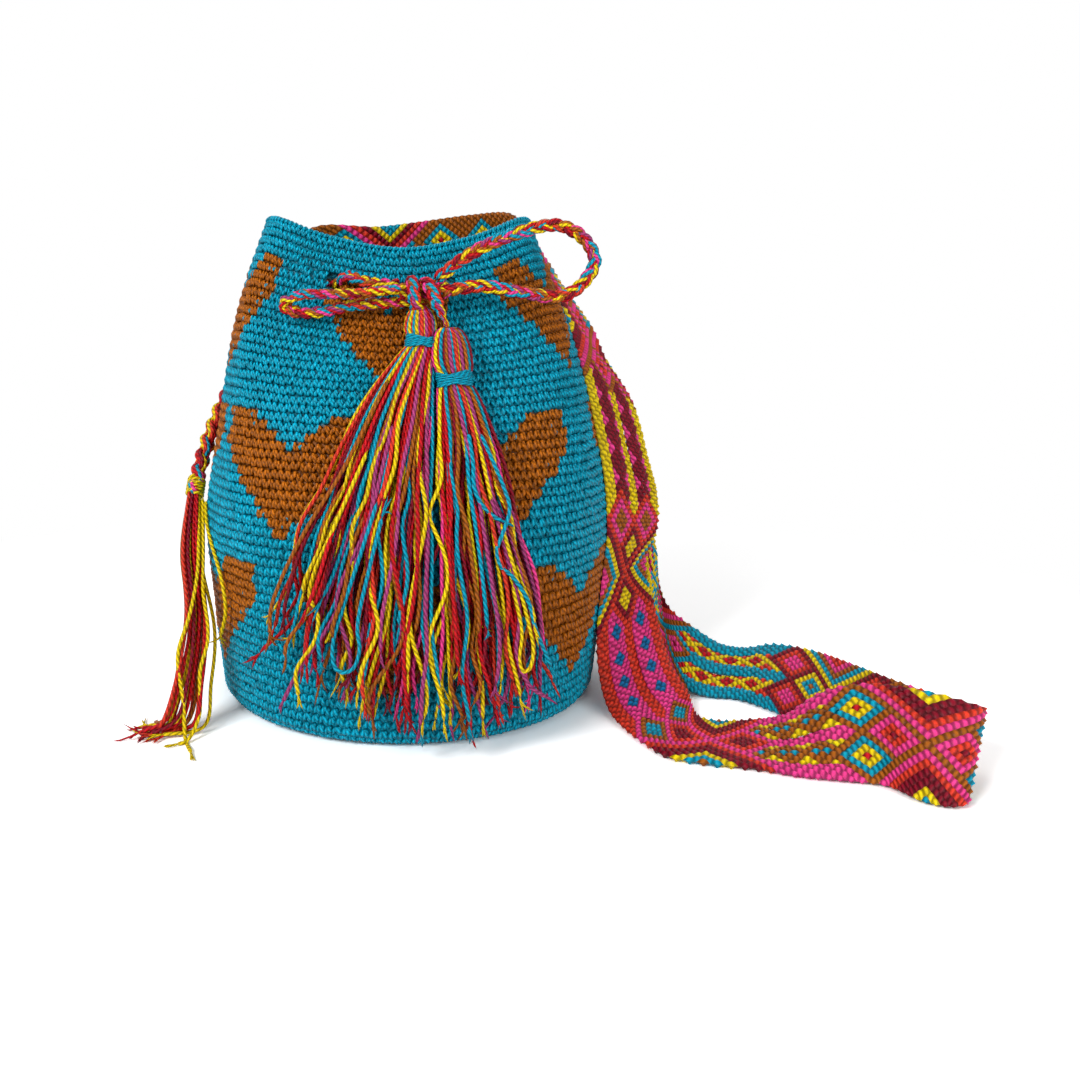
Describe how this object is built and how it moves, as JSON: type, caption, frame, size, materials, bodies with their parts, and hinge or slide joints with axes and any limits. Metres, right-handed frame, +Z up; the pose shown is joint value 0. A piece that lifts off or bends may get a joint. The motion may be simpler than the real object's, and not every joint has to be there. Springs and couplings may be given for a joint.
{
  "type": "crochet crossbody bag",
  "caption": "Round tapestry-crochet bucket bag with a drawstring mouth tied in a bow, thread tassels and a wide knotted crossbody strap lying beside it.",
  "frame": {"origin": "centre of the base's underside, on the surface that the bag stands on", "axes": "+Z up through the mouth, -Y to the front where the bow and the two tassels are, +X to the side where the strap lies"},
  "size_m": [0.3464, 0.2531, 0.2444],
  "materials": {
    "crochet": "matte cotton tapestry crochet, teal with caramel hearts",
    "strap_knots": "matte knotted cotton thread in several colours",
    "braided_cord": "braided cotton yarn in several colours",
    "tassel_thread": "two-ply twisted cotton thread in several colours",
    "binding_thread": "teal cotton thread wound in close turns",
    "plait_thread": "plaited cotton thread in several colours",
    "wrap_thread": "yellow cotton thread wound in close turns"
  },
  "bodies": {
    "bag": {"bag_body": "crochet", "strap": "strap_knots", "drawstring": "braided_cord", "bow_knot": "braided_cord", "right_bow_loop": "braided_cord", "left_bow_loop": "braided_cord", "left_braid_tassel": "plait_thread", "left_braid_wrap": "wrap_thread", "right_braid_tassel": "plait_thread", "right_braid_wrap": "wrap_thread"},
    "left_front_tassel": {"left_tassel": "tassel_thread", "left_tassel_binding": "binding_thread"},
    "right_front_tassel": {"right_tassel": "tassel_thread", "right_tassel_binding": "binding_thread"}
  },
  "joints": [
    {"name": "left_tassel_swing", "type": "hinge", "parent": "bag", "child": "left_front_tassel", "pos_m": [0.0015, -0.06961, 0.1849], "axis": [-1, 0, 0], "range_deg": [0, 75]},
    {"name": "right_tassel_swing", "type": "hinge", "parent": "bag", "child": "right_front_tassel", "pos_m": [0.018, -0.0748, 0.177], "axis": [-1, 0, 0], "range_deg": [0, 75]}
  ]
}
